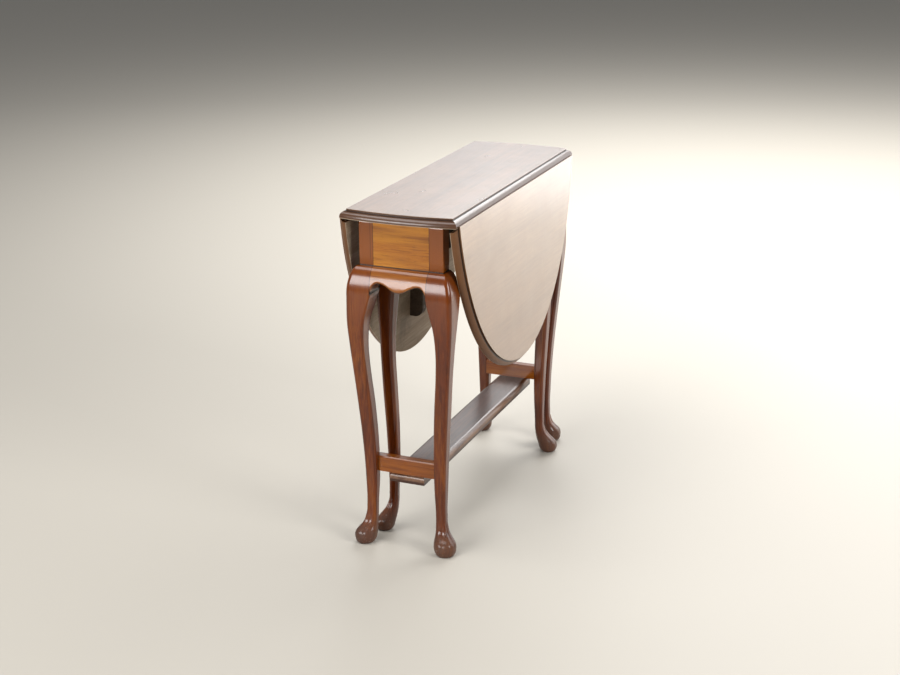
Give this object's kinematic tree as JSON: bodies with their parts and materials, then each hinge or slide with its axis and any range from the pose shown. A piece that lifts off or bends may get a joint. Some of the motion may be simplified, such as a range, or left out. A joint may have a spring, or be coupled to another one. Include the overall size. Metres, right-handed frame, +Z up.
{
  "type": "drop leaf table",
  "caption": "Oval drop leaf table with hanging leaves on rule joints, cabriole legs with pad feet, swinging gate legs, arched aprons and a low stretcher board.",
  "frame": {"origin": "on the floor, at the centre of the table's footprint with both leaves hanging", "axes": "+Z up, +Y along the leaf hinges towards the far end, +X across the hinges towards the right leaf"},
  "size_m": [0.2762, 0.736, 0.72],
  "materials": {
    "top": "polished reddish brown mahogany",
    "leaf": "polished reddish brown mahogany, unpolished underneath",
    "leg": "glossy dark red-brown mahogany",
    "frieze": "glossy orange-brown ribbon-grained mahogany",
    "lower_rail": "glossy orange-brown mahogany",
    "stretcher": "dark brown, worn",
    "frame_wood": "unpolished dark secondary wood",
    "brass": "dull, aged",
    "steel": "dark, aged"
  },
  "bodies": {
    "frame": {"apron_far": "frieze", "apron_near": "frieze", "corner_blocks": "frame_wood", "end_rail_far": "frieze", "end_rail_near": "frieze", "gate_pin_left": "steel", "gate_pin_right": "steel", "hinge_board_flaps_left": "brass", "hinge_board_flaps_right": "brass", "hinge_board_screws_left": "steel", "hinge_board_screws_right": "steel", "hinge_pins_left": "steel", "hinge_pins_right": "steel", "knuckle_rail_left": "frame_wood", "knuckle_rail_right": "frame_wood", "leg_far_left": "leg", "leg_far_right": "leg", "leg_near_left": "leg", "leg_near_right": "leg", "lower_rail_far": "lower_rail", "lower_rail_near": "lower_rail", "packing_left": "frame_wood", "packing_right": "frame_wood", "side_rail_left": "frame_wood", "side_rail_right": "frame_wood", "stretcher_board": "stretcher", "stretcher_screws": "steel", "top_blocks": "frame_wood", "top_board": "top", "top_screws": "steel"},
    "left_leaf": {"hinge_leaf_flaps_left": "brass", "hinge_leaf_screws_left": "steel", "leaf_left": "leaf", "leaf_stop_left": "frame_wood", "stop_screws_left": "steel"},
    "right_leaf": {"hinge_leaf_flaps_right": "brass", "hinge_leaf_screws_right": "steel", "leaf_right": "leaf", "leaf_stop_right": "frame_wood", "stop_screws_right": "steel"},
    "left_gate": {"fly_rail_left": "frame_wood", "gate_leg_left": "leg"},
    "right_gate": {"fly_rail_right": "frame_wood", "gate_leg_right": "leg"}
  },
  "joints": [
    {"name": "left_leaf_hinge", "type": "hinge", "parent": "frame", "child": "left_leaf", "pos_m": [-0.1134, 0, 0.705], "axis": [0, 1, 0], "range_deg": [0, 88.5]},
    {"name": "right_leaf_hinge", "type": "hinge", "parent": "frame", "child": "right_leaf", "pos_m": [0.1134, 0, 0.705], "axis": [0, -1, 0], "range_deg": [0, 88.5]},
    {"name": "left_gate_swing", "type": "hinge", "parent": "frame", "child": "left_gate", "pos_m": [-0.0753, 0, 0.6726], "axis": [0, 0, -1], "range_deg": [0, 6]},
    {"name": "right_gate_swing", "type": "hinge", "parent": "frame", "child": "right_gate", "pos_m": [0.0753, 0, 0.6726], "axis": [0, 0, -1], "range_deg": [-6, 0]}
  ]
}
